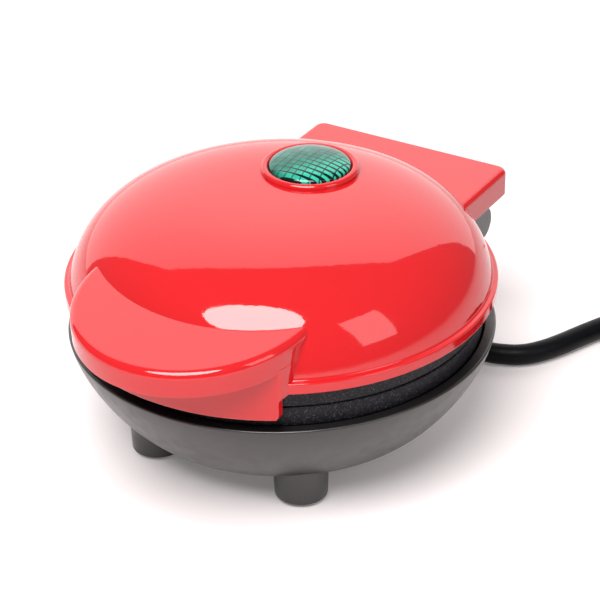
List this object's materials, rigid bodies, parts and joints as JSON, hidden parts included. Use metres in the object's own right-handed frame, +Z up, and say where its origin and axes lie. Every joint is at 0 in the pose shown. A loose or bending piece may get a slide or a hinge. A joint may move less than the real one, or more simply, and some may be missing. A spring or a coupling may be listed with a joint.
{
  "type": "waffle maker",
  "caption": "Round clamshell waffle cooker: domed hinged lid with a scooped front handle, gridded plates inside, a footed bowl base, an indicator lens, and a coiled power cord with its plug.",
  "frame": {"origin": "on the surface the cooker stands on, under the axis of its round body", "axes": "+Z up, -Y towards the handle, +Y towards the hinge, +X the side where the cord comes out"},
  "size_m": [0.2361, 0.2102, 0.0829],
  "materials": {
    "lid_plastic": "high gloss, moulded in colour",
    "base_plastic": "satin, moulded in colour",
    "lens": "clear tinted, prismatic underside",
    "non_stick_plate": "cast, black non-stick coating",
    "steel": "plated",
    "aluminium_sheet": "plain sheet",
    "rubber": "matt",
    "ceramic": "fired, unglazed",
    "natural_plastic": "plain",
    "wire": "insulated wire",
    "cord": "satin flexible jacket",
    "lamp": "clear glow lamp"
  },
  "bodies": {
    "base": {"base_shell": "base_plastic", "foot_pad_front_left": "rubber", "foot_pad_front_right": "rubber", "foot_pad_rear_left": "rubber", "foot_pad_rear_right": "rubber", "lower_plate": "non_stick_plate", "lower_element": "steel", "lower_shield": "aluminium_sheet", "lower_plate_screw_1": "steel", "lower_plate_screw_2": "steel", "lower_plate_screw_3": "steel", "thermostat": "ceramic", "thermal_fuse": "natural_plastic", "fuse_wire": "wire", "thermostat_wire": "wire", "neutral_wire": "wire", "wire_connector": "natural_plastic", "lower_terminal_left": "ceramic", "lower_terminal_right": "ceramic", "base_link_cable": "wire", "hinge_pin": "steel", "hinge_bush": "steel", "cord_clamp": "steel", "clamp_screw_left": "steel", "clamp_screw_right": "steel", "inner_cord": "cord", "strain_relief": "rubber", "cord_lead": "cord", "cord_coil": "cord", "cord_tie": "rubber", "plug_body": "cord", "plug_blade_left": "steel", "plug_blade_right": "steel"},
    "lid": {"lid_shell": "lid_plastic", "indicator_lens": "lens", "lens_retainer": "natural_plastic", "indicator_lamp": "lamp", "lamp_lead": "wire", "upper_plate": "non_stick_plate", "upper_element": "steel", "upper_shield": "aluminium_sheet", "upper_plate_screw_1": "steel", "upper_plate_screw_2": "steel", "upper_plate_screw_3": "steel", "upper_shield_screw_1": "steel", "upper_shield_screw_2": "steel", "upper_shield_screw_3": "steel", "lid_link_cable": "wire", "upper_terminal_left": "ceramic", "upper_terminal_right": "ceramic"}
  },
  "joints": [
    {"name": "lid_hinge", "type": "hinge", "parent": "base", "child": "lid", "pos_m": [0, 0.0708, 0.0441], "axis": [-1, 0, 0], "range_deg": [0, 100]}
  ]
}
